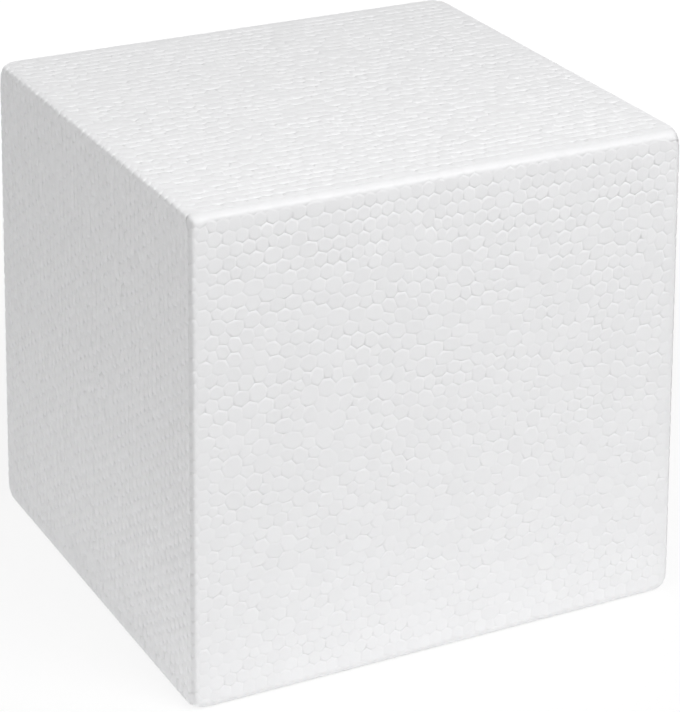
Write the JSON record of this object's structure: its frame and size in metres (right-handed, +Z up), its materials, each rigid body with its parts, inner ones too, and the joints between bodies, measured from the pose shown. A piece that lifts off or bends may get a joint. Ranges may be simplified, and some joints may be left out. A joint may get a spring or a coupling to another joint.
{
  "type": "foam block",
  "caption": "Solid white block of moulded bead foam, close to a cube, with rounded edges and corners and a slight taper towards the top.",
  "frame": {"origin": "middle of the base, on the surface that the block stands on", "axes": "+Z up through the middle of the block, front towards -Y, the widest way along X"},
  "size_m": [0.1624, 0.1514, 0.1515],
  "materials": {
    "foam": "matt white expanded polystyrene with a moulded bead skin"
  },
  "bodies": {
    "root": {"block": "foam"}
  },
  "joints": []
}
